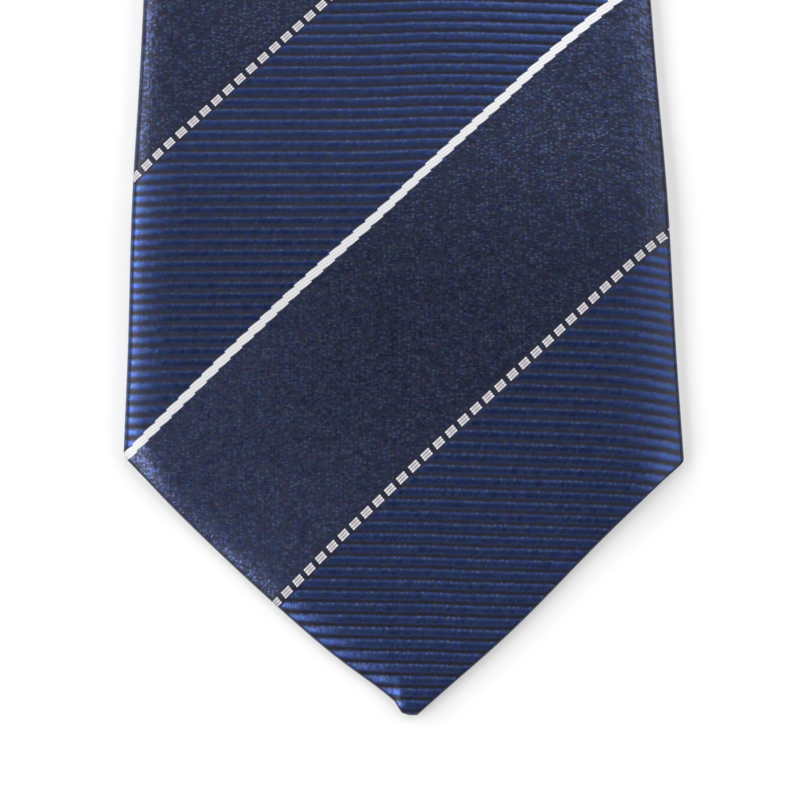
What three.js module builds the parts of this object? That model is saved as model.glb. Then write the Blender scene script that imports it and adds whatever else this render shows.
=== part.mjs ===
import * as THREE from "three";

// Millimetres. The tie lies face up along Y, its wide tip toward -Y, its folded back on z = 0.
// Distances called "along" run from a blade's own tip toward the neck.
const tieLength = 1470;
const bladeWidth = 85;
const neckWidth = 34;
const tailWidth = 46;
const bladeTipDepth = 39;
const tailTipDepth = 21;

// The wide tip's left corner lies further back than the right one by twice this.
const cornerSkew = 1.1;
const bluntTip = 2.7;
const tipBulge = 0.5;

const cloth = 1.0;
const layerGap = 0.3;
const crown = 0.4;
const backGap = 0.6;
const hemDepth = 8;
const hemStep = 0.4;
const edgeRound = 1.2;
const liningCover = 8;
const liningGap = 0.4;
const liningSideGap = 0.3;

// The two slanted seams, and the ends of the narrow neck, as shares of the tie's length.
const bladeSeam = 0.49;
const tailSeam = 0.69;
const neckFrom = 0.53;
const neckTo = 0.61;
const seamAngle = 45;
const seamGap = 0.3;

const loopAlong = 205;
const loopHeight = 14;
const loopLength = 48;
const loopEnd = 5;
const loopRoom = 1.0;
const loopClear = 1.0;
const loopFade = 67;

const tackLift = 0.5;
const tackFade = 22;
const sagFrom = 4;
const sagLength = 30;

// Heights of the layers, from the flaps on the floor up to the face.
const liningLow = cloth + layerGap;
const frontLow = liningLow + cloth + layerGap;
const frontTop = frontLow + cloth;
const rollRadius = frontTop / 2;
const rollMiddle = rollRadius - cloth / 2;
const loopLift = cloth + loopRoom;
const hemThickness = frontTop - liningLow;
const seamSlope = Math.tan(THREE.MathUtils.degToRad(seamAngle));

// Rows beside a slanted edge: inset from it, share of the thickness rounded off, hem below or not.
const edgeRows = [
  { inset: 0, round: 0.33, hem: 1 },
  { inset: edgeRound / 3, round: 0.11, hem: 1 },
  { inset: edgeRound, round: 0, hem: 1 },
  { inset: hemDepth, round: 0, hem: 1 },
  { inset: hemDepth + hemStep, round: 0, hem: 0 },
];

// Bands of even rows behind those, each up to a share of the remaining length.
const wideBands = [
  { upTo: 0.115, rows: 10 },
  { upTo: 0.375, rows: 12 },
  { upTo: 1, rows: 6 },
];
const narrowBands = [
  { upTo: 0.16, rows: 9 },
  { upTo: 1, rows: 7 },
];
const neckBands = [{ upTo: 1, rows: 8 }];

// Half of the columns across the cloth, from the middle of the face round to the middle of the back.
const halfColumns = [
  { zone: "front", share: 0.04, hem: 1 },
  { zone: "front", share: 0.2, hem: 1 },
  { zone: "front", share: 0.4, hem: 1 },
  { zone: "front", share: 0.6, hem: 1 },
  { zone: "front", share: 0.8, hem: 1 },
  { zone: "front", share: 0.94, hem: 1 },
  { zone: "roll", share: 0, hem: 0 },
  { zone: "roll", share: 0.2, hem: 0 },
  { zone: "roll", share: 0.4, hem: 0 },
  { zone: "roll", share: 0.6, hem: 0 },
  { zone: "roll", share: 0.8, hem: 0 },
  { zone: "roll", share: 1, hem: 0 },
  { zone: "flap", share: 0.15, hem: 0 },
  { zone: "flap", share: 0.4, hem: 0 },
  { zone: "flap", share: 0.65, hem: 0 },
  { zone: "flap", share: 0.85, hem: 0 },
  { zone: "flap", share: 1, hem: 0 },
];
const columns = [
  ...halfColumns.map((column) => ({ ...column, side: -1 })).reverse(),
  { zone: "front", share: 0, hem: 1, side: 1 },
  ...halfColumns.map((column) => ({ ...column, side: 1 })),
];

// A smooth step from 0 to 1.
function smooth(share) {
  const t = Math.min(Math.max(share, 0), 1);
  return t * t * (3 - 2 * t);
}

// Half the tie's width at a distance from the wide tip: a slow taper into the neck from each end.
function halfWidth(distance) {
  const bladeRun = neckFrom * tieLength - bladeTipDepth;
  const tailRun = (1 - neckTo) * tieLength - tailTipDepth;
  const blade = Math.max(1 - (distance - bladeTipDepth) / bladeRun, 0);
  const tail = Math.max(1 - (tieLength - distance - tailTipDepth) / tailRun, 0);
  const widening = (bladeWidth - neckWidth) * blade ** 1.75 + (tailWidth - neckWidth) * tail ** 1.3;
  return (neckWidth + widening) / 2;
}

const wideBlade = {
  halfWidthAt: (along) => halfWidth(along),
  tipDepth: bladeTipDepth,
  skew: cornerSkew,
  seam: bladeSeam * tieLength,
  loopLift,
};
const narrowBlade = {
  halfWidthAt: (along) => halfWidth(tieLength - along),
  tipDepth: tailTipDepth,
  skew: 0,
  seam: (1 - tailSeam) * tieLength,
  loopLift: 0,
};

// The slanted cut at a blade's tip, for a signed distance round the cloth from the face's middle.
function tipLine(blade, path) {
  const corner = blade.halfWidthAt(blade.tipDepth);
  const lean = Math.min(Math.max(path / corner, -1), 1);
  const run = Math.max(Math.abs(path) - bluntTip / 2, 0) / (corner - bluntTip / 2);
  const bulge = Math.max(4 * tipBulge * run * (1 - run), 0);
  return (blade.tipDepth - blade.skew * lean) * run - bulge;
}

// How much longer a step along the tie is than the same step square to the slanted cut.
function slant(blade) {
  return Math.hypot(1, blade.tipDepth / blade.halfWidthAt(blade.tipDepth));
}

// The slanted seam at the other end of a piece, set back by half the gap.
function seamLine(seam, path, way) {
  return seam + seamSlope * path + (way * seamGap * Math.hypot(1, seamSlope)) / 2;
}

// Where a column lies across the tie, at a depth into the cloth from its outer face.
function foldedPoint(column, half, depth) {
  const flat = half - rollRadius;
  const reach = flat - backGap / 2;
  if (column.zone === "front") {
    const x = column.share * flat;
    return { x, z: frontTop - depth + crown * (1 - column.share ** 4), path: x };
  }
  if (column.zone === "roll") {
    const turn = Math.PI * column.share;
    const radius = rollRadius - depth;
    const x = flat + radius * Math.sin(turn);
    return { x, z: rollRadius + radius * Math.cos(turn), path: flat + turn * rollMiddle };
  }
  const back = column.share * reach;
  return { x: flat - back, z: depth, path: flat + Math.PI * rollMiddle + back };
}

// The distance along the tie where a column meets a line given by its path round the cloth.
function meetLine(halfWidthAt, column, line) {
  let along = line(0);
  for (let pass = 0; pass < 8; pass += 1) {
    along = line(column.side * foldedPoint(column, halfWidthAt(along), 0).path);
  }
  return along;
}

// Where the lower edge of the flaps lies under a place on the face.
function flapEdge(blade, x, along) {
  const flat = blade.halfWidthAt(along) - rollRadius;
  const path = 2 * flat + Math.PI * rollMiddle - Math.abs(x);
  return tipLine(blade, x < 0 ? -path : path);
}

// The top of the opening between the flaps, where a bar tack holds them together.
function openingTop(blade) {
  const backMiddle = { zone: "flap", share: 1, side: 1 };
  return meetLine(blade.halfWidthAt, backMiddle, (path) => tipLine(blade, path));
}

// All layers rise over the keeper loop and over the bar tack.
function liftAt(blade, along) {
  const pastLoop = Math.max(Math.abs(along - loopAlong) - loopHeight / 2 - loopClear, 0);
  const pastTack = Math.abs(along - openingTop(blade));
  return blade.loopLift * smooth(1 - pastLoop / loopFade) + tackLift * smooth(1 - pastTack / tackFade);
}

// The open tip sinks onto the floor in front of the flaps' edges.
function sagAt(blade, x, along) {
  return liningLow * smooth((flapEdge(blade, x, along) - along - sagFrom) / sagLength);
}

// Even shares for a table of bands.
function bandShares(bands) {
  const shares = [];
  let from = 0;
  for (const band of bands) {
    for (let row = 1; row <= band.rows; row += 1) {
      shares.push(from + ((band.upTo - from) * row) / band.rows);
    }
    from = band.upTo;
  }
  return shares;
}

// Closes a sheet of rows and columns into one body: outer face, inner face and four rims.
function closedSheet(rowCount, columnCount, pointAt) {
  const positions = [];
  for (const inside of [false, true]) {
    for (let row = 0; row < rowCount; row += 1) {
      for (let column = 0; column < columnCount; column += 1) {
        positions.push(...pointAt(row, column, inside));
      }
    }
  }
  const outer = (row, column) => row * columnCount + column;
  const inner = (row, column) => rowCount * columnCount + outer(row, column);
  const faces = [];
  const quad = (a, b, c, d) => faces.push(a, b, c, a, c, d);
  for (let row = 0; row + 1 < rowCount; row += 1) {
    for (let column = 0; column + 1 < columnCount; column += 1) {
      const over = row + 1;
      const beside = column + 1;
      quad(outer(row, column), outer(row, beside), outer(over, beside), outer(over, column));
      quad(inner(row, column), inner(over, column), inner(over, beside), inner(row, beside));
    }
  }
  const lastRow = rowCount - 1;
  const lastColumn = columnCount - 1;
  for (let column = 0; column < lastColumn; column += 1) {
    const beside = column + 1;
    quad(outer(0, beside), outer(0, column), inner(0, column), inner(0, beside));
    quad(outer(lastRow, column), outer(lastRow, beside), inner(lastRow, beside), inner(lastRow, column));
  }
  for (let row = 0; row < lastRow; row += 1) {
    const over = row + 1;
    quad(outer(row, 0), outer(over, 0), inner(over, 0), inner(row, 0));
    quad(outer(over, lastColumn), outer(row, lastColumn), inner(row, lastColumn), inner(over, lastColumn));
  }
  const geometry = new THREE.BufferGeometry();
  geometry.setAttribute("position", new THREE.Float32BufferAttribute(positions, 3));
  geometry.setIndex(faces);
  geometry.computeVertexNormals();
  return geometry;
}

// One blade's shell: its face, both rolled edges and both flaps, hemmed along the slanted cut.
function bladeShell(blade, bands) {
  const ease = slant(blade);
  const start = columns.map((column) => meetLine(blade.halfWidthAt, column, (path) => tipLine(blade, path)));
  const end = columns.map((column) =>
    meetLine(blade.halfWidthAt, column, (path) => seamLine(blade.seam, path, -1)),
  );
  const hemEnd = edgeRows[edgeRows.length - 1].inset;
  const rows = [
    ...edgeRows.map((row) => ({ ...row, share: 0 })),
    ...bandShares(bands).map((share) => ({ inset: hemEnd, round: 0, hem: 0, share })),
  ];
  return closedSheet(rows.length, columns.length, (rowIndex, columnIndex, inside) => {
    const row = rows[rowIndex];
    const column = columns[columnIndex];
    const rest = end[columnIndex] - start[columnIndex] - hemEnd * ease;
    const along = start[columnIndex] + row.inset * ease + row.share * rest;
    const thickness = cloth + (hemThickness - cloth) * row.hem * column.hem;
    const depth = thickness * (inside ? 1 - row.round : row.round);
    const place = foldedPoint(column, blade.halfWidthAt(along), depth);
    const x = column.side * place.x;
    const sag = column.zone === "front" ? sagAt(blade, x, along) : 0;
    return [x, along, place.z + liftAt(blade, along) - sag];
  });
}

// The neck band between the two slanted seams, folded like the blades.
function neckShell() {
  const startSeam = bladeSeam * tieLength;
  const endSeam = tailSeam * tieLength;
  const start = columns.map((column) =>
    meetLine(halfWidth, column, (path) => seamLine(startSeam, path, 1)),
  );
  const end = columns.map((column) => meetLine(halfWidth, column, (path) => seamLine(endSeam, path, -1)));
  const shares = [0, ...bandShares(neckBands)];
  return closedSheet(shares.length, columns.length, (rowIndex, columnIndex, inside) => {
    const along = start[columnIndex] + shares[rowIndex] * (end[columnIndex] - start[columnIndex]);
    const column = columns[columnIndex];
    const place = foldedPoint(column, halfWidth(along), inside ? cloth : 0);
    return [column.side * place.x, along, place.z];
  });
}

// The lining sewn inside a blade's hem, which shows between the flaps.
function tippingSheet(blade) {
  const ease = slant(blade);
  const inset = edgeRows[edgeRows.length - 1].inset + liningGap;
  const face = columns.filter((column) => column.zone === "front");
  const shares = [-1, ...face.map((column) => column.side * column.share), 1];
  const rowCount = 10;
  return closedSheet(rowCount, shares.length, (row, column, inside) => {
    const across = shares[column];
    const up = row / (rowCount - 1);
    let along = blade.tipDepth;
    let x = 0;
    for (let pass = 0; pass < 8; pass += 1) {
      x = across * (blade.halfWidthAt(along) - rollRadius - liningSideGap);
      const low = tipLine(blade, x) + inset * ease;
      const high = flapEdge(blade, x, along) + liningCover * ease;
      along = low + up * (high - low);
    }
    const z = liningLow + (inside ? 0 : cloth) + liftAt(blade, along) - sagAt(blade, x, along);
    return [x, along, z];
  });
}

// The keeper loop: a strip across the back whose ends rise to where they are sewn to the flaps.
function keeperStrip() {
  const end = loopLength / 2;
  const bend = end - loopEnd;
  const rise = loopRoom - layerGap;
  const top = [
    { x: -end, z: rise },
    { x: -bend - loopEnd / 3, z: rise },
    { x: -bend, z: 0 },
    { x: bend, z: 0 },
    { x: bend + loopEnd / 3, z: rise },
    { x: end, z: rise },
  ];
  const outline = new THREE.Shape();
  outline.moveTo(top[0].x, top[0].z);
  top.slice(1).forEach((point) => outline.lineTo(point.x, point.z));
  [...top].reverse().forEach((point) => outline.lineTo(point.x, point.z + cloth));
  outline.closePath();
  return new THREE.ExtrudeGeometry(outline, { depth: loopHeight, bevelEnabled: false });
}

const stripedCloth = { color: 0x2f3654, roughness: 0.62, metalness: 0 };
const liningSatin = { color: 0x1d2336, roughness: 0.42, metalness: 0 };

// A named mesh with a material of its own.
function piece(name, geometry, surface) {
  const mesh = new THREE.Mesh(geometry, new THREE.MeshStandardMaterial(surface));
  mesh.name = name;
  return mesh;
}

const tie = new THREE.Group();

const fromWideTip = new THREE.Group();
fromWideTip.position.y = -tieLength / 2;
fromWideTip.add(piece("wide_blade", bladeShell(wideBlade, wideBands), stripedCloth));
fromWideTip.add(piece("neck_band", neckShell(), stripedCloth));
fromWideTip.add(piece("wide_tipping", tippingSheet(wideBlade), liningSatin));
const keeper = piece("keeper_loop", keeperStrip(), stripedCloth);
keeper.rotation.x = Math.PI / 2;
keeper.position.y = loopAlong + loopHeight / 2;
fromWideTip.add(keeper);
tie.add(fromWideTip);

const fromNarrowTip = new THREE.Group();
fromNarrowTip.position.y = tieLength / 2;
fromNarrowTip.rotation.z = Math.PI;
fromNarrowTip.add(piece("narrow_blade", bladeShell(narrowBlade, narrowBands), stripedCloth));
fromNarrowTip.add(piece("narrow_tipping", tippingSheet(narrowBlade), liningSatin));
tie.add(fromNarrowTip);

export default tie;
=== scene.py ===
# A navy striped necktie laid face up on a pale floor, seen from above its wide end.
import math

import bpy
import numpy as np
from mathutils import Matrix


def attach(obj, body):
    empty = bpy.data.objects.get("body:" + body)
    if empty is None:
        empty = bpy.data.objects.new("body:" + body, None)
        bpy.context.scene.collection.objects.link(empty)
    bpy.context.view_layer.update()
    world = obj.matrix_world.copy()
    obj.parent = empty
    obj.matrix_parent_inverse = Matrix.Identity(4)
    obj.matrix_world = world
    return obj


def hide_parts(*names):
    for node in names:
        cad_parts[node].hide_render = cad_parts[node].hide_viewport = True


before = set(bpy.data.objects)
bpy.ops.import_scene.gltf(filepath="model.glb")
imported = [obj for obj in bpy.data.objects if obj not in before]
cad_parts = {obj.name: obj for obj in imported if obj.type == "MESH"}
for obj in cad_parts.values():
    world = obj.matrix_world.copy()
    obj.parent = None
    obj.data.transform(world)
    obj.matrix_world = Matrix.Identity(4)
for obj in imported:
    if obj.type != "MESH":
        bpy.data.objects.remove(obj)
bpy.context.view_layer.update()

# Cloth is worked out in millimetres, and a mesh is made from it in metres.
mm = 0.001

# The photo's frame: 800 pixels square, the wide tip near its bottom edge.
photo = {"pixels": 800, "pixelsPerMm": 6.588, "centreX": -0.4, "centreFromTip": 47.98,
         "turn": -0.8, "lens": 120.0, "sensor": 36.0, "edgeHeight": 1.8}

# The tie's own sizes, as in the frame.
tie = {"length": 1470.0, "bladeWidth": 85.2, "neckWidth": 34.0, "tailWidth": 46.0,
       "bladeTip": 39.0, "tailTip": 21.0, "cornerSkew": 1.1, "bluntTip": 2.7,
       "neckFrom": 0.53, "neckTo": 0.61, "bladeSeam": 0.49, "tailSeam": 0.69,
       "faceTop": 3.6, "hemLow": 1.3, "hemDepth": 8.0, "backGap": 0.5, "crown": 0.4,
       "loopAlong": 205.0, "loopHeight": 14.0, "loopLift": 2.0, "loopFade": 67.0,
       "tackLift": 0.5, "tackFade": 22.0, "sagFrom": 4.0, "sagLength": 30.0,
       "belly": 0.38, "bellyAt": 79.0}


def makeCamera():
    span = photo["pixels"] / photo["pixelsPerMm"]
    height = span / photo["sensor"] * photo["lens"] + photo["edgeHeight"]
    data = bpy.data.cameras.new("photoCamera")
    data.lens = photo["lens"]
    data.sensor_width = photo["sensor"]
    data.clip_start = 0.01
    cam = bpy.data.objects.new("photoCamera", data)
    cam.location = (photo["centreX"] * mm, (photo["centreFromTip"] - tie["length"] / 2) * mm, height * mm)
    cam.rotation_euler = (0, 0, math.radians(photo["turn"]))
    bpy.context.scene.collection.objects.link(cam)
    bpy.context.scene.camera = cam
    print("camera", round(height), "mm above the floor")


makeCamera()


# A smooth step from 0 to 1: 3t^2 - 2t^3.
def smooth(t):
    t = np.clip(t, 0, 1)
    return t * t * (3 - 2 * t)


# Half the width: the neck's, widened by a power of the way to each end, and a slight belly
# above the wide corners.
def halfWidth(along):
    length = tie["length"]
    bladeRun = tie["neckFrom"] * length - tie["bladeTip"]
    tailRun = (1 - tie["neckTo"]) * length - tie["tailTip"]
    blade = np.maximum(1 - (along - tie["bladeTip"]) / bladeRun, 0)
    tail = np.maximum(1 - (length - along - tie["tailTip"]) / tailRun, 0)
    wider = (tie["bladeWidth"] - tie["neckWidth"]) * blade ** 1.75
    wider = wider + (tie["tailWidth"] - tie["neckWidth"]) * tail ** 1.3
    belly = tie["belly"] * np.exp(-((along - tie["bellyAt"]) / 17) ** 2)
    return (tie["neckWidth"] + wider) / 2 + belly


# What differs between the pieces. An edge's drop is how far the face falls beside the fold or the hem.
wide = {"half": halfWidth, "tip": tie["bladeTip"], "skew": tie["cornerSkew"], "loopLift": tie["loopLift"],
        "dropLeft": 0.5, "dropRight": 1.3, "reachLeft": 6.0, "reachRight": 12.0,
        "hemDropLeft": 1.1, "hemDropRight": 0.4, "hemReach": 5.0, "stretch": 0.0028,
        "bulge": 0.0, "nose": 1.6}
narrow = {"half": lambda along: halfWidth(tie["length"] - along), "tip": tie["tailTip"], "skew": 0.0,
          "loopLift": 0.0, "dropLeft": 0.6, "dropRight": 0.8, "reachLeft": 5.0, "reachRight": 6.0,
          "hemDropLeft": 0.5, "hemDropRight": 0.3, "hemReach": 4.0, "stretch": 0.0,
          "bulge": 0.5, "nose": 0.0}
neck = dict(narrow, half=halfWidth, tip=0.0)
shell = {"cloth": 0.8, "hemRound": 0.45, "groove": 0.35, "grooveWide": 0.5, "seamGap": 0.06, "evenRun": 20,
         "wave": 0.12, "fallPower": 2.2, "innerFall": 0.3}


# How the slanted cut strays from a straight line, in shares of the blade's nose, which is in mm.
cutLine = {"noseWide": 0.18, "belly": 0.53, "bellyPower": 1.6, "hollow": 0.74, "hollowAt": 0.36,
           "hollowWide": 0.27, "hollowEnd": 0.4, "ledge": 0.16}


# The slanted cut: its depth grows with the share of the way from the blunt tip to the corner, hollowed
# by the bulge. The left side adds a nose that ends in a bell and a belly, a sine of a power, and the
# right side is hollowed by a bell.
def tipLine(blade, path):
    corner = float(blade["half"](blade["tip"]))
    blunt = tie["bluntTip"] / 2
    run = np.maximum(np.abs(path) - blunt, 0) / (corner - blunt)
    share = np.clip(run, 0, 1)
    depth = blade["tip"] - blade["skew"] * np.clip(path / corner, -1, 1)
    line = depth * run - np.maximum(4 * blade["bulge"] * run * (1 - run), 0)
    nose = blade["nose"] * np.exp(-(share / cutLine["noseWide"]) ** 2) * smooth((np.abs(path) - 0.6) / 1.3)
    left = nose - cutLine["belly"] * blade["nose"] * np.sin(math.pi * share ** cutLine["bellyPower"])
    bell = np.exp(-((share - cutLine["hollowAt"]) / cutLine["hollowWide"]) ** 2)
    right = -cutLine["hollow"] * blade["nose"] * (bell * smooth((1 - share) / cutLine["hollowEnd"]))
    ledge = cutLine["ledge"] * blade["nose"] * smooth(0.4 - path) * smooth((1.7 - np.abs(path)) / 0.5)
    return np.maximum(line + np.where(path < 0, left, right), 0) + ledge


# The lower edge of the flaps under a place on the face: the cut line at the path folded back to it.
def flapEdge(blade, x, along):
    path = 2 * blade["half"](along) - np.abs(x)
    return tipLine(blade, np.where(x < 0, -path, path))


# Everything rises over the keeper loop and a little over the bar tack.
def liftAt(blade, along):
    pastLoop = np.maximum(np.abs(along - tie["loopAlong"]) - tie["loopHeight"] / 2 - 1, 0)
    lift = blade["loopLift"] * smooth(1 - pastLoop / tie["loopFade"])
    if blade["tip"]:
        lift = lift + tie["tackLift"] * smooth(1 - np.abs(along - openingTop(blade)) / tie["tackFade"])
    return lift


def openingTop(blade):
    along = blade["tip"]
    for i in range(8):
        along = float(tipLine(blade, np.array(2 * float(blade["half"](along)))))
    return along


# The open tip sinks onto the floor in front of the flaps, the two sides blended at the middle.
def sagAt(blade, x, along):
    side = smooth(np.abs(x) / 16 + 0.5)
    ahead = flapEdge(blade, x, along) * side + flapEdge(blade, -x, along) * (1 - side) - along
    return tie["hemLow"] * smooth((ahead - tie["sagFrom"]) / tie["sagLength"])


# Slow unevenness of hand-pressed cloth: a few long sine waves.
def unevenness(x, along, seed):
    rng = np.random.default_rng(seed)
    total = np.zeros(np.broadcast(x, along).shape)
    for i in range(6):
        wave = rng.uniform(18, 60)
        turn = rng.uniform(0, math.pi)
        place = x * math.cos(turn) + along * math.sin(turn)
        total = total + np.sin(place * 6.283 / wave + rng.uniform(0, 6))
    return total / 6


# The columns across a folded sheet: zone 0 is the face, 1 the rolled edge, 2 the flap.
# A face column is a share of the flat face, a roll column a share of the half turn,
# and a flap column a share of the way back, with the last few on the rounded edge.
def clothColumns(faceCount, rollCount, flapCount, rimCount):
    face = bandSteps(0, [(0.06, 0.009), (0.15, 0.021), (0.7, 0.55 / faceCount), (1, 0.5 / faceCount)])
    zone = [0] * len(face) + [1] * rollCount + [2] * (flapCount + rimCount)
    share = list(face) + list(np.linspace(0, 1, rollCount + 1)[1:])
    share = share + list(np.linspace(0, 1, flapCount + 1)[1:])
    rim = list(1 - np.cos(np.linspace(math.pi / 2, 0.05, rimCount)))
    share = np.array(share + [1] * rimCount)
    inEdge = np.array([0.0] * (len(share) - rimCount) + rim)
    side = np.ones(len(share))
    zone = np.array(zone)
    turned = {"zone": zone[1:][::-1], "share": share[1:][::-1], "rim": inEdge[1:][::-1], "side": -side[1:]}
    straight = {"zone": zone, "share": share, "rim": inEdge, "side": side}
    return {key: np.concatenate([turned[key], straight[key]]) for key in turned}


# Where cloth lies across the tie. Face: z falls towards the fold by a power of the way. Roll: x and z go
# round an arc from the face's slope to flat underneath, its radius set by the height left. Flap: x
# comes back, z = depth. depth is measured into the cloth from its outer side.
def foldAcross(blade, cols, half, depth):
    left = cols["side"] < 0
    drop = np.where(left, blade["dropLeft"], blade["dropRight"])
    reach = np.where(left, blade["reachLeft"], blade["reachRight"])
    power = 2.4
    first = np.arctan(drop * power / reach)
    radius = (tie["faceTop"] - drop) / (1 + np.cos(first))
    flat = half - radius * (1 - np.sin(first))
    middle = radius - shell["cloth"] / 2
    faceX = cols["share"] * flat
    near = np.clip((faceX - (flat - reach)) / reach, 0, 1)
    slope = np.arctan(drop * power / reach * near ** (power - 1))
    faceZ = tie["faceTop"] - drop * near ** power + tie["crown"] * (1 - cols["share"] ** 4)
    turn = first + (math.pi - first) * cols["share"]
    rollX = flat + (radius - depth) * np.sin(turn) - radius * np.sin(first)
    rollZ = radius + (radius - depth) * np.cos(turn)
    under = flat - radius * np.sin(first)
    edge = shell["cloth"] / 2
    back = cols["share"] * (under - tie["backGap"] / 2 - edge) + cols["rim"] * edge
    face, roll = cols["zone"] == 0, cols["zone"] == 1
    x = np.where(face, faceX - depth * np.sin(slope), np.where(roll, rollX, under - back))
    z = np.where(face, faceZ - depth * np.cos(slope), np.where(roll, rollZ, depth))
    rollPath = flat + (turn - first) * middle
    flapPath = flat + (math.pi - first) * middle + back
    return x, z, np.where(face, faceX, np.where(roll, rollPath, flapPath))


# The distance along the tie where each column meets a slanted line, found by repeated substitution.
def meetLine(blade, cols, line):
    along = np.full(len(cols["zone"]), float(line(np.zeros(1))[0]))
    for i in range(8):
        _, _, path = foldAcross(blade, cols, blade["half"](along), 0)
        along = line(cols["side"] * path)
    return along


# Ribs in mm: their pitch, the pitch at the tip, how far up the cloth is stretched, and their phase.
weave = {"rib": 1.585, "tipRib": 1.879, "stretchEnd": 105.0, "ribPhase": 0.181}

# How threads stray on the wide blade, in mm: the face is nearer to the camera than its tip, ribs tilt
# and droop to the right edge, and bells pull them out of line.
drift = {"near": 1.0052, "tilt": 0.011, "edge": 42.0, "droop": 0.033, "curl": 1.2, "tipTilt": 0.020,
         "leftPull": 0.60, "tipPull": 0.42, "rightPull": 0.25, "aside": 0.11, "shear": 0.0035,
         "wrap": 0.4, "solidBell": 0.60, "solidRight": 0.40, "solidLeft": 0.12, "dashWave": 0.36,
         "dashLeft": 0.28, "lineWide": 0.18}


# The number of ribs up to a distance from the tip: the pitch shrinks evenly up to where the stretch
# ends, so the count is a logarithm, and beyond it the pitch stays.
def ribCount(blade, d):
    g = blade["stretch"]
    end = weave["stretchEnd"]
    count = -np.log(1 - g * np.minimum(d, end) / weave["tipRib"]) / g
    return count + np.maximum(d - end, 0) / (weave["tipRib"] - g * end) + weave["ribPhase"]


# Threads as they run in the cloth, in mm: v is the rib count times the pitch, and u the distance round
# the cloth. Each line of the stripes wanders a little: u is shifted by bells and a sine beside it.
def threadPlace(blade, path, x, along, half):
    if not blade["stretch"]:
        return path, along
    near = drift["near"]
    d = photo["centreFromTip"] + (along - photo["centreFromTip"]) * near + drift["tilt"] * x
    s = np.clip(x / half, -1, 1) * drift["edge"]
    droop = drift["droop"] * np.maximum(s - 4, 0) + drift["curl"] * (np.maximum(s, 0) / drift["edge"]) ** 8
    d = d + droop + drift["tipTilt"] * smooth((50 - along) / 25) * np.minimum(s, 8)
    nudge = drift["leftPull"] * (1 - smooth((x + 8) / 22)) * smooth((along - 55) / 20)
    nudge = nudge + drift["tipPull"] * np.exp(-((along - 35) / 13) ** 2)
    nudge = nudge - drift["rightPull"] * smooth((x - 30) / 6) * smooth((along - 48) / 8)
    v = ribCount(blade, d + nudge) * weave["rib"]
    u = path * near + drift["aside"] + drift["shear"] * np.clip(along - 48, -50, 60)
    u = u + (v - ribCount(blade, d) * weave["rib"]) / stripe["slope"]
    u = u + drift["wrap"] * np.sign(path) * np.clip(np.abs(path) / half, 0, 1) ** 6
    level = (v - u * stripe["slope"] - stripe["dashAt"]) / stripe["period"]
    bySolid = drift["solidBell"] * np.exp(-((u + 1) / 11) ** 2) - drift["solidRight"] * smooth((u - 14) / 10)
    bySolid = bySolid - drift["solidLeft"] * smooth((-20 - u) / 6)
    byDash = drift["dashWave"] * np.sin(math.pi * np.clip((u - 5) / 32, -0.6, 1))
    byDash = np.where(level > 0.75, drift["dashLeft"] * smooth((u + 36) / 8), byDash)
    level = np.where(level > 0.75, level - 1, level)
    solidBell = np.exp(-((level - stripe["speckShare"]) / drift["lineWide"]) ** 2)
    return u - bySolid * solidBell - byDash * np.exp(-(level / drift["lineWide"]) ** 2), v


# Even steps inside each band of a table of (up to, step), in mm.
def bandSteps(start, bands):
    steps = [start]
    for upTo, step in bands:
        count = max(int(round((upTo - steps[-1]) / step)), 1)
        steps.extend(np.linspace(steps[-1], upTo, count + 1)[1:])
    return np.array(steps)


# Outer and inner grids and four rims as one closed mesh, with a texture map of thread places.
def closedSheet(name, outer, inner, uv, paintedSheen):
    rows, cols = outer.shape[:2]
    points = np.concatenate([outer.reshape(-1, 3), inner.reshape(-1, 3)])
    grid = np.arange(rows * cols).reshape(rows, cols)
    under = grid + rows * cols
    top = np.stack([grid[:-1, :-1], grid[:-1, 1:], grid[1:, 1:], grid[1:, :-1]], -1).reshape(-1, 4)
    bottom = np.stack([under[:-1, :-1], under[1:, :-1], under[1:, 1:], under[:-1, 1:]], -1).reshape(-1, 4)
    first = np.stack([grid[0, 1:], grid[0, :-1], under[0, :-1], under[0, 1:]], -1)
    last = np.stack([grid[-1, :-1], grid[-1, 1:], under[-1, 1:], under[-1, :-1]], -1)
    leftRim = np.stack([grid[:-1, 0], grid[1:, 0], under[1:, 0], under[:-1, 0]], -1)
    rightRim = np.stack([grid[1:, -1], grid[:-1, -1], under[:-1, -1], under[1:, -1]], -1)
    faces = np.concatenate([top, bottom, first, last, leftRim, rightRim])
    return putMesh(name, points, faces, np.tile(uv.reshape(-1, 2), (2, 1)), np.tile(paintedSheen.ravel(), 2))


# A mesh from arrays of points in mm and four-cornered faces.
def putMesh(name, points, faces, uv, paintedSheen):
    mesh = bpy.data.meshes.new(name)
    mesh.vertices.add(len(points))
    mesh.vertices.foreach_set("co", (points * mm).astype(np.float32).ravel())
    mesh.loops.add(faces.size)
    mesh.loops.foreach_set("vertex_index", faces.ravel().astype(np.int32))
    mesh.polygons.add(len(faces))
    mesh.polygons.foreach_set("loop_start", np.arange(0, faces.size, faces.shape[1], dtype=np.int32))
    mesh.update(calc_edges=True)
    mesh.validate()
    mesh.polygons.foreach_set("use_smooth", np.ones(len(mesh.polygons), bool))
    layer = mesh.uv_layers.new(name="threads")
    layer.data.foreach_set("uv", uv[faces.ravel()].astype(np.float32).ravel())
    # The painted sheen: a brightness per point that the cloth's colours are painted with, as painted highlight
    # and shade.
    paintedSheenField = mesh.attributes.new("paintedSheen", "FLOAT", "POINT")
    paintedSheenField.data.foreach_set("value", paintedSheen.astype(np.float32))
    obj = bpy.data.objects.new(name, mesh)
    bpy.context.scene.collection.objects.link(obj)
    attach(obj, "root")
    return obj


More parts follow.
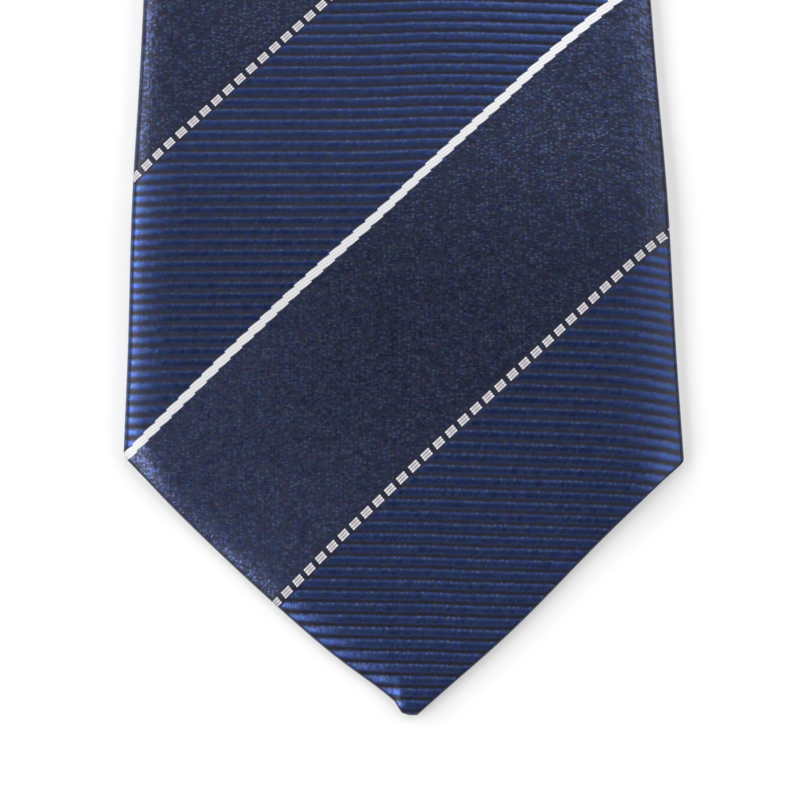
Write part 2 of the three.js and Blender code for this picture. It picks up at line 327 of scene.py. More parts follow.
# From a piece's own frame to the tie's: y from a tip, turned about when it starts at the narrow end.
def placed(points, fromNarrow):
    out = points.copy()
    if fromNarrow:
        out[..., 0] = -points[..., 0]
        out[..., 1] = tie["length"] / 2 - points[..., 1]
    else:
        out[..., 1] = points[..., 1] - tie["length"] / 2
    return out


# How much longer a step along the tie is than one square to the slanted cut.
def slant(blade):
    return math.hypot(1, blade["tip"] / float(blade["half"](blade["tip"])))


# The groove in the outer side beside a seam: a bell of the distance from it.
def grooveAt(fromSeam):
    return shell["groove"] * np.exp(-(fromSeam / shell["grooveWide"]) ** 2)


# A blade's shell. Each column runs from the slanted cut to the seam; the hem thickens the face inward and
# falls by a power of the way to the cut, and the cut edge is a half round: with e from the edge, its
# depth is half the thickness times 1 less the square root of 1 less (1 - e / radius) squared.
def bladeShell(name, blade, seam, steps, cols, fromNarrow, seed, shift):
    ease = slant(blade)
    start = meetLine(blade, cols, lambda path: tipLine(blade, path))
    end = meetLine(blade, cols, lambda path: seam + path - shell["seamGap"])
    e = steps[:, None]
    run = (end - start)[None, :]
    even = shell["evenRun"]
    spread = even * ease + (e - even) / (steps[-1] - even) * (run - even * ease)
    along = start[None, :] + np.where(e < even, e * ease, spread)
    face = np.where(cols["zone"] == 0, 1 - smooth((cols["share"] - 0.93) / 0.07), 0)[None, :]
    hem = smooth((tie["hemDepth"] + 0.4 - e) / 0.5)
    thick = shell["cloth"] + (tie["faceTop"] - tie["hemLow"] - shell["cloth"]) * hem * face
    edge = np.minimum(thick / 2, shell["hemRound"])
    rounding = 1 - np.sqrt(np.clip(1 - (1 - np.clip(e / edge, 0, 1)) ** 2, 0, 1))
    groove = grooveAt(run + start[None, :] - along)
    half = blade["half"](along)
    toRight = smooth(cols["side"] * cols["share"] * 4 + 0.5)[None, :]
    hemDrop = blade["hemDropLeft"] * (1 - toRight) + blade["hemDropRight"] * toRight
    onTop = np.where(cols["zone"] == 0, 1, np.where(cols["zone"] == 1, smooth(1 - 1.5 * cols["share"]), 0))
    hemFall = hemDrop * np.clip(1 - e / blade["hemReach"], 0, 1) ** shell["fallPower"] * onTop[None, :]
    layers = []
    for inside in (0, 1):
        depth = np.where(inside, thick * (1 - 0.49 * rounding), thick * 0.49 * rounding)
        depth = depth + (groove if not inside else 0)
        x, z, _ = foldAcross(blade, cols, half, depth)
        x = cols["side"] * x
        wave = shell["wave"] * unevenness(x, along, seed) * (cols["zone"] == 0)
        wave = wave * smooth((half - np.abs(x)) / 8)
        lift = liftAt(blade, along)
        sag = np.where(cols["zone"] == 0, sagAt(blade, x, along), 0)
        inner = shell["innerFall"]
        fall = hemFall if not inside else hemFall * (inner + (1 - inner) * rounding)
        layers.append(np.stack(np.broadcast_arrays(x, along, z + lift - sag - fall + wave), -1))
    x, _, path = foldAcross(blade, cols, half, 0)
    x, path = cols["side"] * x, cols["side"] * path
    u, v = threadPlace(blade, path, x, along, half)
    outer, inner = placed(layers[0], fromNarrow), placed(layers[1], fromNarrow)
    # Painted sheen on the wide blade; the other pieces get an even value.
    paintedSheen = paintedSheenAt(x, along, half, e) if blade["stretch"] else np.full(x.shape, 0.9)
    return closedSheet(name, outer, inner, np.stack([u + shift[0], v + shift[1]], -1), paintedSheen)


# The neck band, between the two slanted seams.
def neckShell(name, cols, shift):
    start = meetLine(neck, cols, lambda path: tie["bladeSeam"] * tie["length"] + path + shell["seamGap"])
    end = meetLine(neck, cols, lambda path: tie["tailSeam"] * tie["length"] + path - shell["seamGap"])
    share = np.concatenate([[0, 0.001, 0.002, 0.004, 0.008], np.linspace(0.02, 0.98, 60),
                            [0.992, 0.996, 0.998, 0.999, 1]])
    along = start[None, :] + share[:, None] * (end - start)[None, :]
    fromSeam = np.minimum(along - start[None, :], end[None, :] - along)
    groove = grooveAt(fromSeam)
    half = halfWidth(along)
    layers = []
    for inside in (0, 1):
        x, z, _ = foldAcross(neck, cols, half, shell["cloth"] if inside else groove)
        x = cols["side"] * x
        layers.append(np.stack(np.broadcast_arrays(x, along, z), -1))
    path = cols["side"] * foldAcross(neck, cols, half, 0)[2]
    u, v = threadPlace(neck, path, layers[0][..., 0], along, half)
    uv = np.stack([u + shift[0], v + shift[1]], -1)
    return closedSheet(name, placed(layers[0], False), placed(layers[1], False), uv, np.full(u.shape, 0.9))


# The lining in the back opening, its edges turned under against the hem.
def tippingSheet(name, blade, fromNarrow):
    ease = slant(blade)
    across = np.linspace(-1, 1, 61)
    up = np.concatenate([[0, 0.004, 0.01, 0.02], np.linspace(0.04, 1, 40)])[:, None]
    along = np.full((len(up), len(across)), blade["tip"])
    for i in range(8):
        x = across * (blade["half"](along) - 2.3)
        low = tipLine(blade, x) + (tie["hemDepth"] + 0.75) * ease
        high = flapEdge(blade, x, along) + 8.0 * ease
        along = low + up * (high - low)
    lift = liftAt(blade, along) - sagAt(blade, x, along)
    edge = 0.35 * np.exp(-(up / 0.012) ** 2)
    slack = 0.1 * unevenness(x, along, 5)
    low = tie["hemLow"] + 0.2 + 0.6 * edge + lift + slack * smooth(up / 0.1)
    outer = np.stack(np.broadcast_arrays(x, along, tie["hemLow"] + 0.6 + lift), -1)
    inner = np.stack(np.broadcast_arrays(x, along, low), -1)
    uv = np.stack(np.broadcast_arrays(x, along), -1)
    return closedSheet(name, placed(outer, fromNarrow), placed(inner, fromNarrow), uv, np.ones(x.shape))


# The keeper loop: a flat folded strip across the back, its ends risen to where they are sewn on.
# Height of the underside: z = rise * smooth((|x| - from) / run), its long edges rounded.
loop = {"reach": 24.0, "thick": 0.95, "rise": 0.7, "riseFrom": 19.0, "riseRun": 1.67, "round": 0.45}


def loopSheet(name):
    x = loop["reach"] * np.linspace(-1, 1, 97)[None, :]
    share = np.concatenate([[-1, -0.995, -0.98, -0.96], np.linspace(-0.94, 0.94, 24), [0.96, 0.98, 0.995, 1]])
    across = share[:, None] * tie["loopHeight"] / 2
    inEdge = np.clip((tie["loopHeight"] / 2 - np.abs(across)) / loop["round"], 0, 1)
    rounding = 1 - np.sqrt(1 - (1 - inEdge) ** 2)
    under = loop["rise"] * smooth((np.abs(x) - loop["riseFrom"]) / loop["riseRun"])
    along = tie["loopAlong"] + across
    low = under + loop["thick"] * 0.48 * rounding + 0.0 * x
    high = under + loop["thick"] * (1 - 0.48 * rounding) + 0.0 * x
    outer = np.stack(np.broadcast_arrays(x, along, high), -1)
    inner = np.stack(np.broadcast_arrays(x, along, low), -1)
    uv = np.stack(np.broadcast_arrays(across + 3.0, x + 60.0), -1)
    return closedSheet(name, placed(outer, False), placed(inner, False), uv, np.full(high.shape, 0.9))


# A bar tack over the top of an opening: z falls below the flaps by half an ellipse across it, rippled
# once per wrap of thread along it.
tack = {"reach": 4.6, "half": 0.95, "deep": 0.32, "wrap": 0.62, "top": 0.62}


def barTack(name, blade, fromNarrow):
    x = tack["reach"] * np.sin(np.linspace(-1, 1, 121) * math.pi / 2)[None, :]
    y = tack["half"] * np.sin(np.linspace(-1, 1, 15) * math.pi / 2)[:, None]
    ellipse = np.sqrt(np.clip(1 - (y / tack["half"]) ** 2, 0, 1)) * np.clip(1 - (x / tack["reach"]) ** 8, 0, 1)
    ripple = 0.75 + 0.25 * np.abs(np.cos(math.pi * (x + 0.3 * y) / tack["wrap"]))
    low = tie["tackLift"] - tack["deep"] * ellipse * ripple
    along = openingTop(blade) + 0.6 + y
    outer = np.stack(np.broadcast_arrays(x, along, np.full(low.shape, tack["top"])), -1)
    inner = np.stack(np.broadcast_arrays(x, along, low), -1)
    uv = np.stack(np.broadcast_arrays(x, y), -1)
    return closedSheet(name, placed(outer, fromNarrow), placed(inner, fromNarrow), uv, np.full(low.shape, 0.9))


# Slip stitches over the groove between the flaps: short slanted threads, each a bent tube whose ends are
# higher by the bow times the square of the way from its middle.
stitch = {"every": 9.0, "reach": 1.1, "slant": 1.0, "thread": 0.17, "height": 0.08, "bow": 0.12}


def slipStitches(name, blade, first, last, fromNarrow):
    count = int((last - first) / stitch["every"])
    base = first + stitch["every"] * (np.arange(count) + 0.5)
    base = base + 0.8 * np.sin(base * 1.7)
    t = np.linspace(-1, 1, 7)
    turn = np.linspace(0, 2 * math.pi, 7)[:-1]
    t, turn, base = t[None, :, None], turn[None, None, :], base[:, None, None]
    r = stitch["thread"] * np.sqrt(np.clip(1.02 - t ** 8, 0, 1))
    lift = liftAt(blade, base)
    x = t * stitch["reach"] + 0 * turn
    along = base + t * stitch["slant"] + r * np.cos(turn)
    z = lift + stitch["height"] + stitch["bow"] * t ** 2 + r * np.sin(turn)
    points = np.stack(np.broadcast_arrays(x + 0 * base, along, z), -1)
    rings = np.arange(count * 7 * 6).reshape(count, 7, 6)
    near, far = rings[:, :-1], rings[:, 1:]
    faces = np.stack([near, np.roll(near, -1, 2), np.roll(far, -1, 2), far], -1).reshape(-1, 4)
    capA = np.stack([rings[:, 0, [0, 5, 4, 3]], rings[:, -1, [0, 1, 2, 3]]], 1).reshape(-1, 4)
    capB = np.stack([rings[:, 0, [0, 3, 2, 1]], rings[:, -1, [0, 3, 4, 5]]], 1).reshape(-1, 4)
    points = placed(points, fromNarrow).reshape(-1, 3)
    uv = np.stack(np.broadcast_arrays(turn + 0 * base + 0 * t, t * 3 + 0 * base + 0 * turn), -1).reshape(-1, 2)
    return putMesh(name, points, np.concatenate([faces, capA, capB]), uv, np.full(len(points), 0.9))


# A number field in a node tree, so that a pattern reads as a sum.
class Field:
    def __init__(self, tree, socket):
        self.tree = tree
        self.socket = socket

    def op(self, kind, *others):
        node = self.tree.nodes.new("ShaderNodeMath")
        node.operation = kind
        for i, value in enumerate((self,) + others):
            if isinstance(value, Field):
                self.tree.links.new(value.socket, node.inputs[i])
            else:
                node.inputs[i].default_value = value
        return Field(self.tree, node.outputs[0])

    def __add__(self, other):
        return self.op("ADD", other)

    def __sub__(self, other):
        return self.op("SUBTRACT", other)

    def __mul__(self, other):
        return self.op("MULTIPLY", other)

    def __truediv__(self, other):
        return self.op("DIVIDE", other)

    def size(self):
        return self.op("ABSOLUTE")

    def part(self):
        return self.op("FRACT")

    def floor(self):
        return self.op("FLOOR")

    def most(self, other):
        return self.op("MAXIMUM", other)

    def least(self, other):
        return self.op("MINIMUM", other)

    # A smooth step from 0 at low to 1 at high, or down when low is the larger.
    def step(self, low, high):
        node = self.tree.nodes.new("ShaderNodeMapRange")
        node.interpolation_type = "SMOOTHSTEP"
        self.tree.links.new(self.socket, node.inputs["Value"])
        node.inputs["From Min"].default_value = min(low, high)
        node.inputs["From Max"].default_value = max(low, high)
        node.inputs["To Min"].default_value = 0.0 if low < high else 1.0
        node.inputs["To Max"].default_value = 1.0 if low < high else 0.0
        return Field(self.tree, node.outputs["Result"])


# The plane's two fields as one vector socket.
def pair(a, b):
    node = a.tree.nodes.new("ShaderNodeCombineXYZ")
    a.tree.links.new(a.socket, node.inputs[0])
    a.tree.links.new(b.socket, node.inputs[1])
    return node.outputs[0]


# A random number from 0 to 1 for each whole-numbered cell.
def cellNoise(a, b):
    node = a.tree.nodes.new("ShaderNodeTexWhiteNoise")
    node.noise_dimensions = "2D"
    a.tree.links.new(pair(a, b), node.inputs["Vector"])
    return Field(a.tree, node.outputs["Value"])


# Smooth noise about 0, with features one unit wide.
def softNoise(a, b, detail=1.0):
    node = a.tree.nodes.new("ShaderNodeTexNoise")
    node.noise_dimensions = "2D"
    node.inputs["Scale"].default_value = 1.0
    node.inputs["Detail"].default_value = detail
    a.tree.links.new(pair(a, b), node.inputs["Vector"])
    return Field(a.tree, node.outputs["Fac"]) - 0.5


# Round cells: the distance from the nearest one's middle, and its random number.
def cells(a, b):
    node = a.tree.nodes.new("ShaderNodeTexVoronoi")
    node.voronoi_dimensions = "2D"
    node.inputs["Scale"].default_value = 1.0
    a.tree.links.new(pair(a, b), node.inputs["Vector"])
    split = a.tree.nodes.new("ShaderNodeSeparateColor")
    a.tree.links.new(node.outputs["Color"], split.inputs[0])
    return Field(a.tree, node.outputs["Distance"]), Field(a.tree, split.outputs[0])


def mixColour(tree, share, a, b):
    node = tree.nodes.new("ShaderNodeMix")
    node.data_type = "RGBA"
    tree.links.new(share.socket, node.inputs[0])
    for value, socket in ((a, node.inputs[6]), (b, node.inputs[7])):
        if isinstance(value, tuple):
            socket.default_value = (*value, 1)
        else:
            tree.links.new(value, socket)
    return node.outputs[2]


# A colour, given as numbers or as a socket, times a field.
def scaled(tree, amount, colour):
    node = tree.nodes.new("ShaderNodeVectorMath")
    node.operation = "SCALE"
    if isinstance(colour, tuple):
        node.inputs[0].default_value = colour
    else:
        tree.links.new(colour, node.inputs[0])
    tree.links.new(amount.socket, node.inputs["Scale"])
    return node.outputs[0]


# Dyed yarns differ a little: each channel is multiplied by 1 + gain (noise - 0.5), fine and coarse.
def flecked(tree, colour, u, v):
    for scale, gain in ((2.7, 0.7), (0.9, 0.7)):
        noise = tree.nodes.new("ShaderNodeTexNoise")
        noise.noise_dimensions = "2D"
        noise.inputs["Scale"].default_value = scale
        noise.inputs["Detail"].default_value = 2.0
        tree.links.new(pair(u, v), noise.inputs["Vector"])
        gained = tree.nodes.new("ShaderNodeVectorMath")
        gained.operation = "MULTIPLY_ADD"
        tree.links.new(noise.outputs["Color"], gained.inputs[0])
        gained.inputs[1].default_value = (gain, gain, gain)
        gained.inputs[2].default_value = (1 - gain / 2,) * 3
        both = tree.nodes.new("ShaderNodeVectorMath")
        both.operation = "MULTIPLY"
        tree.links.new(colour, both.inputs[0])
        tree.links.new(gained.outputs[0], both.inputs[1])
        colour = both.outputs[0]
    return colour


def attributeSocket(tree, name):
    node = tree.nodes.new("ShaderNodeAttribute")
    node.attribute_name = name
    return node.outputs["Fac"]


def newMaterial(name):
    mat = bpy.data.materials.new(name)
    mat.use_nodes = True
    tree = mat.node_tree
    bsdf = tree.nodes["Principled BSDF"]
    return mat, tree, bsdf


def threadFields(tree):
    node = tree.nodes.new("ShaderNodeUVMap")
    node.uv_map = "threads"
    split = tree.nodes.new("ShaderNodeSeparateXYZ")
    tree.links.new(node.outputs[0], split.inputs[0])
    return Field(tree, split.outputs[0]), Field(tree, split.outputs[1])


def bumpTo(tree, bsdf, height, strength):
    bump = tree.nodes.new("ShaderNodeBump")
    bump.inputs["Strength"].default_value = strength
    bump.inputs["Distance"].default_value = mm
    tree.links.new(height.socket, bump.inputs["Height"])
    tree.links.new(bump.outputs[0], bsdf.inputs["Normal"])


# The stripes climb to the right: a dashed line, a speckled band, a solid line, a ribbed band.
stripe = {"slope": 0.8806, "dashAt": 31.6, "period": 78.0, "speckShare": 0.5134, "dashPhase": 0.17,
          "thread": 0.38, "dashLong": 0.33, "dashHalf": 0.54, "solidHalf": 0.60, "solidTooth": 0.19}
clothLook = {"charcoal": (0.0175, 0.0185, 0.0325), "ground": (0.0160, 0.0172, 0.0320),
             "lit": (0.042, 0.072, 0.215), "pick": (0.026, 0.035, 0.080),
             "dot": (0.070, 0.092, 0.175), "white": (0.58, 0.58, 0.60), "dash": (0.68, 0.66, 0.70),
             # The rim colour is painted shade on the cut edge, where the cloth turns under.
             "between": (0.13, 0.12, 0.13), "cut": (0.040, 0.028, 0.027),
             "metal": 0.92, "rough": 0.27, "specular": 0.18}


# Painted sheen: how much lighter or darker the blue threads and the other colours of the cloth are painted
# over the blade, as shares, as painted highlights and painted shade.
paintedSheenShares = {"base": 0.82, "right": 0.06, "up": 0.14, "upRight": 0.35, "tip": 0.46, "paintedFoldHighlight": 0.20, "hem": 0.30,
         "edge": 0.40}


# Painted light: lighter to the right, up and at the tip, and a painted highlight on the left rolled edge and
# beside the left hem, where the face turns to the light; painted shade at the right edge, and nothing at the
# cut, where the rim is painted dark: bells and smooth steps.
def paintedSheenAt(x, along, half, e):
    right = np.maximum(x / 40, 0)
    up = smooth((along - 62) / 46) * (1 - smooth((along - 115) / 60))
    low = np.maximum(50 - along, 0) / 40
    rise = paintedSheenShares["up"] + paintedSheenShares["upRight"] * np.maximum(x / 40 + 0.5, 0)
    whole = paintedSheenShares["base"] + paintedSheenShares["right"] * right ** 2 + up * rise + paintedSheenShares["tip"] * low
    # Painted highlight on the left rolled edge, where it turns to the light.
    paintedFoldHighlight = paintedSheenShares["paintedFoldHighlight"] * np.exp(-((half + x - 0.9) / 0.8) ** 2) * smooth((e - 1) / 3)
    # Painted highlight beside the left hem.
    hem = paintedSheenShares["hem"] * np.exp(-((e - 2.4) / 2.4) ** 2) * smooth(0.2 - x / 4) * (0.4 + 0.6 * low)
    # Painted shade along the right edge.
    paintedEdgeShade = paintedSheenShares["edge"] * np.exp(-((half - x) / 1.8) ** 2)
    # The painted sheen falls to nothing at the cut, where the rim is painted dark.
    return (whole + paintedFoldHighlight + hem - paintedEdgeShade) * smooth(e / 0.7 + 0.1)


# Ribs: blue floats over a little more than half of each pitch, made of slanted threads, with a row of
# light dots on their upper side. Each float's upper part is painted lighter and its lower part darker, as
# painted light from above.
def ribFields(u, v):
    rib = v / weave["rib"] + softNoise(u * 1.1, v * 0.6, 3.0) * 0.11
    number = (rib + 0.5).floor()
    inRib = rib - number
    crossing = (u - v * 0.6) / 0.37 + softNoise(u * 0.9, v * 1.3) * 1.5
    shade = cellNoise(crossing.floor(), number)
    shape = (crossing.part() - 0.5).size().step(0.52, 0.12)
    onFloat = (inRib.size() + shade * 0.08 - 0.02).step(0.46, 0.10)
    # Painted light: the upper part of each float is painted lighter.
    paintedTopLight = inRib.step(-0.28, 0.24)
    beads = u / 0.85 + softNoise(u * 0.5, v * 0.7) * 1.5
    dots = (inRib - 0.27).size().step(0.15, 0.03) * cellNoise(beads.floor() + 31, number).step(0.15, 0.9)
    return {"blue": onFloat,
            "tone": (shade * 0.32 + shape * 0.55 + 0.56) * (paintedTopLight * 0.36 + 0.76),
            "dot": dots * (beads.part() - 0.5).size().step(0.34, 0.10) * 0.6,
            "height": inRib.size().step(0.48, 0.10) * 0.010 + shape * onFloat * 0.014}


# Speckle: fine blue picks, larger light dots on them, thinned in slow patches.
def speckleFields(u, v):
    near, pick = cells(u * 1.8, v * 2.5)
    nearDot, pickDot = cells(u * 1.4 + 40, v * 2.1 + 9)
    patch = softNoise(u * 0.5, v * 0.5, 2.0) * 1.8 + 0.5
    speck = near.step(0.85, 0.2) * pick.step(0.05, 0.8)
    ground = (softNoise(u * 1.3 + 7, v * 1.1, 3.0) * 2.2 + 0.4).most(0.0)
    spot = nearDot.step(0.55, 0.1) * pickDot.step(0.1, 0.9)
    return {"blue": (speck * 1.15 + ground * 0.32).least(1.0),
            "tone": patch * 0.5 + pick * 0.7 + 0.55,
            "dot": spot * (patch * 0.35 + 0.2),
            "height": speck * 0.013 + spot * 0.018}


# The dashed line: three white threads, one dash to a rib. Gives the dash, its threads' height and how
# white it is, most at a dash's ends.
def dashFields(fromDash, dashPart):
    lane = (fromDash / stripe["thread"] + 0.5).part() - 0.5
    onDash = (dashPart.size() + lane.size() * 0.04).step(stripe["dashLong"] + 0.03, stripe["dashLong"] - 0.02)
    onDash = onDash * fromDash.size().step(stripe["dashHalf"] + 0.06, stripe["dashHalf"] - 0.04)
    core = lane.size().step(0.51, 0.28)
    tip = dashPart.size().step(0.12, 0.34)
    return onDash, core * 0.08 + 0.06, onDash * (core * (tip * 0.4 + 0.62))


# The solid line: a band shifted back once a rib, so its edges climb in teeth. Gives the line and the
# shade of its fine threads.
def solidFields(fromSolid, tooth):
    shift = (tooth - 0.5) * stripe["solidTooth"]
    bulge = (tooth - 0.5).size().step(0.5, 0.0) * 0.05
    solid = ((fromSolid + shift).size() - bulge).step(stripe["solidHalf"] + 0.05, stripe["solidHalf"] - 0.06)
    fine = ((fromSolid + tooth * 0.4) / 0.4).part()
    return solid, (fine - 0.5).size().step(0.5, 0.15) * 0.22 + 0.78


# The level is how many periods of stripes a place is above the first dashed line.
def stripedCloth():
    mat, tree, bsdf = newMaterial("stripedCloth")
    u, v = threadFields(tree)
    # The painted sheen: the cloth's colours below are painted lighter or darker with it, as painted highlight
    # and shade.
    paintedSheenField = Field(tree, attributeSocket(tree, "paintedSheen"))
    cos = 1 / math.hypot(1, stripe["slope"])
    sin = stripe["slope"] * cos
    across = stripe["period"] * cos
    perRib = stripe["period"] * cos * cos / weave["rib"]
    level = (v - u * stripe["slope"] - stripe["dashAt"]) / stripe["period"]
    turns = (level + 0.5).floor()
    fromDash = (level - turns) * across
    fromSolid = (level.part() - stripe["speckShare"]) * across
    pastSolid = (fromSolid + softNoise(u * 2, v * 2) * 0.25).step(-0.1, 0.1)
    ribbed = (pastSolid + fromDash.step(0.05, -0.05) * (level.part() - 0.5).step(0, 0.01)).least(1.0)
    plain = ribbed * -1 + 1
    ribs, speckle = ribFields(u, v), speckleFields(u, v)
    band = {key: ribs[key] * ribbed + speckle[key] * plain for key in ribs}

    # Both lines count ribs along themselves, so that a dash or a tooth comes once a rib.
    alongLine = (u * cos + v * sin) * (sin / weave["rib"]) + stripe["dashAt"] * cos * cos / weave["rib"]
    dashPart = (alongLine + turns * perRib + 0.5 - stripe["dashPhase"]).part() - 0.5
    onDash, dashHeight, dashWhite = dashFields(fromDash, dashPart)
    solid, fineShade = solidFields(fromSolid, (alongLine + stripe["speckShare"] * perRib + 0.35).part())

    # Beside the lines the cloth is quiet, and low on the left the speckle is painted lighter, as painted light.
    quiet = (fromDash.size().step(1.0, 0.8) * -0.85 + 1) * (solid * -1 + 1)
    blue = band["blue"] * quiet
    dot = (band["dot"] * quiet).least(1.0)
    weft = cellNoise((u / 0.33).floor(), (v / 0.26).floor()) * 0.35 + 0.82
    # Painted light: the speckle low on the left is painted lighter.
    paintedLowLeftLight = u.step(4, -30) * v.step(85, 45) * 0.4 + 1
    tone = band["tone"] * paintedSheenField * (ribbed + paintedLowLeftLight * plain)
    height = band["height"] * quiet + onDash * dashHeight + solid * 0.10

    # Painted light: the charcoal between floats is painted lighter where the painted sheen is low, and it and
    # the speckle ground go dark at the cut rim.
    gap = scaled(tree, (paintedSheenField * -0.9 + 1.85).most(0.75) * paintedSheenField.step(0, 0.4) * weft, clothLook["charcoal"])
    ground = scaled(tree, weft * paintedLowLeftLight * paintedSheenField.step(0, 0.4), clothLook["ground"])
    thread = mixColour(tree, ribbed, clothLook["pick"], clothLook["lit"])
    colour = mixColour(tree, blue, mixColour(tree, ribbed, ground, gap), scaled(tree, tone, thread))
    # The light dots are painted lighter with the painted sheen.
    colour = mixColour(tree, dot, colour, scaled(tree, paintedSheenField, clothLook["dot"]))
    colour = flecked(tree, colour, u, v)
    colour = mixColour(tree, onDash, colour, clothLook["between"])
    colour = mixColour(tree, dashWhite, colour, clothLook["dash"])
    # The solid line's white is painted lighter with the painted sheen.
    colour = mixColour(tree, solid * fineShade, colour, scaled(tree, paintedSheenField * 0.35 + 0.70, clothLook["white"]))
    # Painted shade: the rim at the cut edge is painted dark brown where the painted sheen falls to nothing.
    colour = mixColour(tree, paintedSheenField.step(0.5, 0.1) * 0.7, colour, clothLook["cut"])
    tree.links.new(colour, bsdf.inputs["Base Color"])
    metal = (blue * (dot * -0.7 + 1)).least(1.0) * paintedSheenField.step(0.1, 0.5) * (ribbed * 0.12 + 0.88)
    metal = metal * clothLook["metal"] * (onDash.most(solid) * -1 + 1)
    tree.links.new(metal.socket, bsdf.inputs["Metallic"])
    bsdf.inputs["Roughness"].default_value = clothLook["rough"]
    bsdf.inputs["Specular IOR Level"].default_value = clothLook["specular"]
    bumpTo(tree, bsdf, height, 1.0)
    return mat


liningLook = {"base": (0.014, 0.018, 0.036), "rough": 0.38}


def liningSatin():
    mat, tree, bsdf = newMaterial("liningSatin")
    u, v = threadFields(tree)
    twill = ((u + v) / 0.5).part()
    ridge = (twill - 0.5).size().step(0.5, 0.1)
    fleck = cellNoise((u / 0.22).floor(), (v / 0.5).floor())
    light = tuple(2.0 * c for c in liningLook["base"])
    colour = mixColour(tree, ridge * 0.5 + fleck * 0.3, liningLook["base"], light)
    tree.links.new(colour, bsdf.inputs["Base Color"])
    bsdf.inputs["Roughness"].default_value = liningLook["rough"]
    bumpTo(tree, bsdf, ridge * 0.03 + fleck * 0.01, 0.8)
    return mat


threadLook = {"base": (0.022, 0.027, 0.055), "light": (0.085, 0.098, 0.16), "rough": 0.42}


# Twisted thread: light and dark bands slanting round it.
def sewingThread():
    mat, tree, bsdf = newMaterial("sewingThread")
    u, v = threadFields(tree)
    twist = ((u * 0.8 + v * 1.6).part() - 0.5).size().step(0.5, 0.1)
    tree.links.new(mixColour(tree, twist, threadLook["base"], threadLook["light"]), bsdf.inputs["Base Color"])
    bsdf.inputs["Roughness"].default_value = threadLook["rough"]
    bumpTo(tree, bsdf, twist * 0.03, 0.6)
    return mat


cloth = stripedCloth()
lining = liningSatin()
thread = sewingThread()

# Rows from the slanted cut to the seam, in mm: eased round the edge, then even steps in bands.
edgeSteps = 0.99 * (1 - np.cos(np.linspace(0.02, math.pi / 2, 9)))
hemBands = [(7.8, 0.65), (8.6, 0.16), (20, 0.95)]
wideSteps = np.concatenate([edgeSteps, bandSteps(1.3, hemBands + [(125, 1.05), (330, 3.0), (720, 6.5)])])
narrowSteps = np.concatenate([edgeSteps, bandSteps(1.3, hemBands + [(90, 2.0), (455, 5.0)])])
blade = bladeShell("wideBlade", wide, tie["bladeSeam"] * tie["length"], wideSteps,
                   clothColumns(16, 10, 14, 5), False, 3, (0, 0))
tail = bladeShell("narrowBlade", narrow, (1 - tie["tailSeam"]) * tie["length"], narrowSteps,
                  clothColumns(9, 8, 10, 5), True, 8, (11, 47))
band = neckShell("neckBand", clothColumns(8, 8, 9, 5), (6, 22))
for piece, node in ((blade, "wide_blade"), (tail, "narrow_blade"), (band, "neck_band")):
    piece.data.materials.append(cloth)
    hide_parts(node)
tips = [("wideTipping", wide, False, "wide_tipping"), ("narrowTipping", narrow, True, "narrow_tipping")]
linings = {}
for name, side, fromNarrow, node in tips:
    linings[node] = tippingSheet(name, side, fromNarrow)
    linings[node].data.materials.append(lining)
    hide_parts(node)
keeper = loopSheet("keeperLoop")
keeper.data.materials.append(cloth)
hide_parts("keeper_loop")
length = tie["length"]
bladeSeam, tailSeam = tie["bladeSeam"] * length, tie["tailSeam"] * length
sewn = [barTack("wideTack", wide, False), barTack("narrowTack", narrow, True),
        slipStitches("wideStitches", wide, openingTop(wide) + 4, 196, False),
        slipStitches("bladeStitches", wide, 214, bladeSeam - 4, False),
        slipStitches("neckStitches", neck, bladeSeam + 4, tailSeam - 4, False),
        slipStitches("narrowStitches", narrow, openingTop(narrow) + 4, (1 - tie["tailSeam"]) * length - 4, True)]
for piece in sewn:
    piece.data.materials.append(thread)
print("cloth pieces", [len(o.data.polygons) for o in (blade, tail, band, keeper)])


# Flat areas of the pieces, in square metres, and the smaller of that and a cut size, which is not kept.
def faceArea(obj):
    area = np.zeros(len(obj.data.polygons))
    obj.data.polygons.foreach_get("area", area)
    return float(area.sum()) / 2


def declare(obj, width, length):
    min(faceArea(obj), width * length)


declare(blade, 0.170, 0.755)
declare(tail, 0.092, 0.495)
declare(band, 0.076, 0.370)
declare(keeper, 0.048, 0.014)
declare(linings["wide_tipping"], 0.081, 0.078)
declare(linings["narrow_tipping"], 0.043, 0.046)


# A pale floor that glows a little though it is no lamp, a painted light that keeps the shadows on it pale.
floorLook = {"colour": (0.475, 0.475, 0.48), "glow": 0.38}


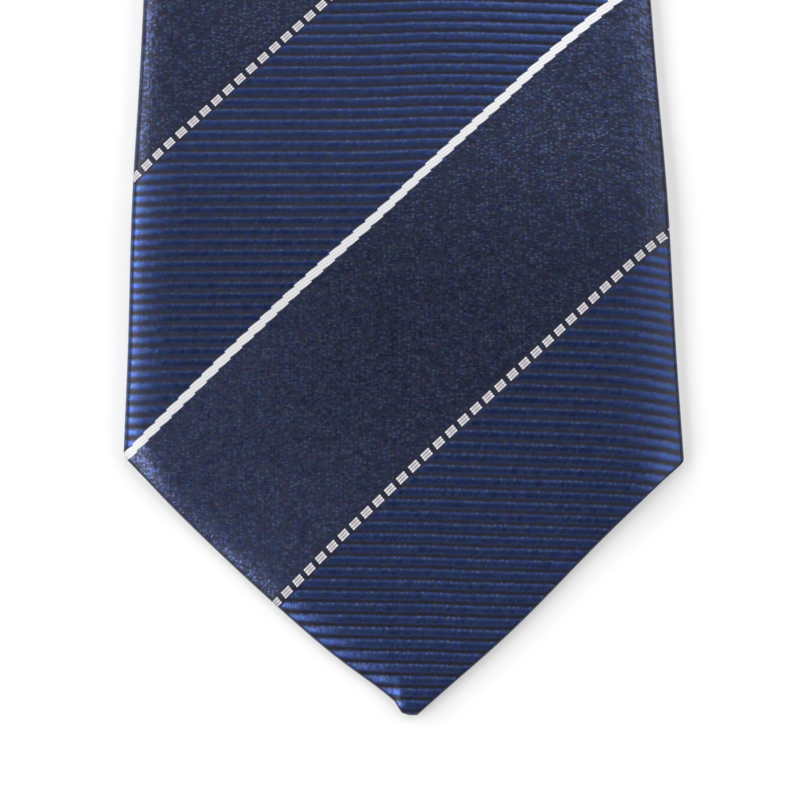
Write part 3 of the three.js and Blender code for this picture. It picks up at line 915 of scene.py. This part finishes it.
def makeFloor():
    half = 3.0
    mesh = bpy.data.meshes.new("floor")
    corners = [(-half, -half, -0.0002), (half, -half, -0.0002), (half, half, -0.0002), (-half, half, -0.0002)]
    mesh.from_pydata(corners, [], [(0, 1, 2, 3)])
    floor = bpy.data.objects.new("floor", mesh)
    bpy.context.scene.collection.objects.link(floor)
    mat, tree, bsdf = newMaterial("paleFloor")
    bsdf.inputs["Base Color"].default_value = (*floorLook["colour"], 1)
    bsdf.inputs["Roughness"].default_value = 0.9
    bsdf.inputs["Specular IOR Level"].default_value = 0.1
    bsdf.inputs["Emission Color"].default_value = (1, 1, 1, 1)
    bsdf.inputs["Emission Strength"].default_value = floorLook["glow"]
    mesh.materials.append(mat)


# Long soft boxes beside the tie, the left one the strongest, one past its far end, and a dim room.
lamps = [{"name": "leftBox", "at": (-1.0, -0.25, 0.8), "watts": 32.0, "size": (0.8, 2.6)},
         {"name": "rightBox", "at": (1.0, 0.0, 0.8), "watts": 15.0, "size": (0.8, 2.6)},
         {"name": "topBox", "at": (0.15, 0.2, 1.3), "watts": 8.0, "size": (0.8, 0.7)}]
room = {"colour": (1, 1, 1), "strength": 0.12}


def makeLights():
    for lamp in lamps:
        data = bpy.data.lights.new(lamp["name"], "AREA")
        data.shape = "RECTANGLE"
        data.size, data.size_y = lamp["size"]
        data.energy = lamp["watts"]
        obj = bpy.data.objects.new(lamp["name"], data)
        x, y, z = lamp["at"]
        tilt = Matrix.Rotation(math.atan2(x, z), 4, "Y")
        if lamp["name"] == "topBox":
            tilt = Matrix.Rotation(-math.atan2(y + 0.7, z), 4, "X")
        obj.matrix_world = Matrix.Translation((x, y, z)) @ tilt
        bpy.context.scene.collection.objects.link(obj)
    world = bpy.data.worlds.new("room")
    world.use_nodes = True
    back = world.node_tree.nodes["Background"]
    back.inputs[0].default_value = (*room["colour"], 1)
    back.inputs[1].default_value = room["strength"]
    bpy.context.scene.world = world


makeFloor()
makeLights()
scene = bpy.context.scene
scene.view_settings.view_transform = "Standard"
scene.view_settings.look = "None"
print("floor and lights")
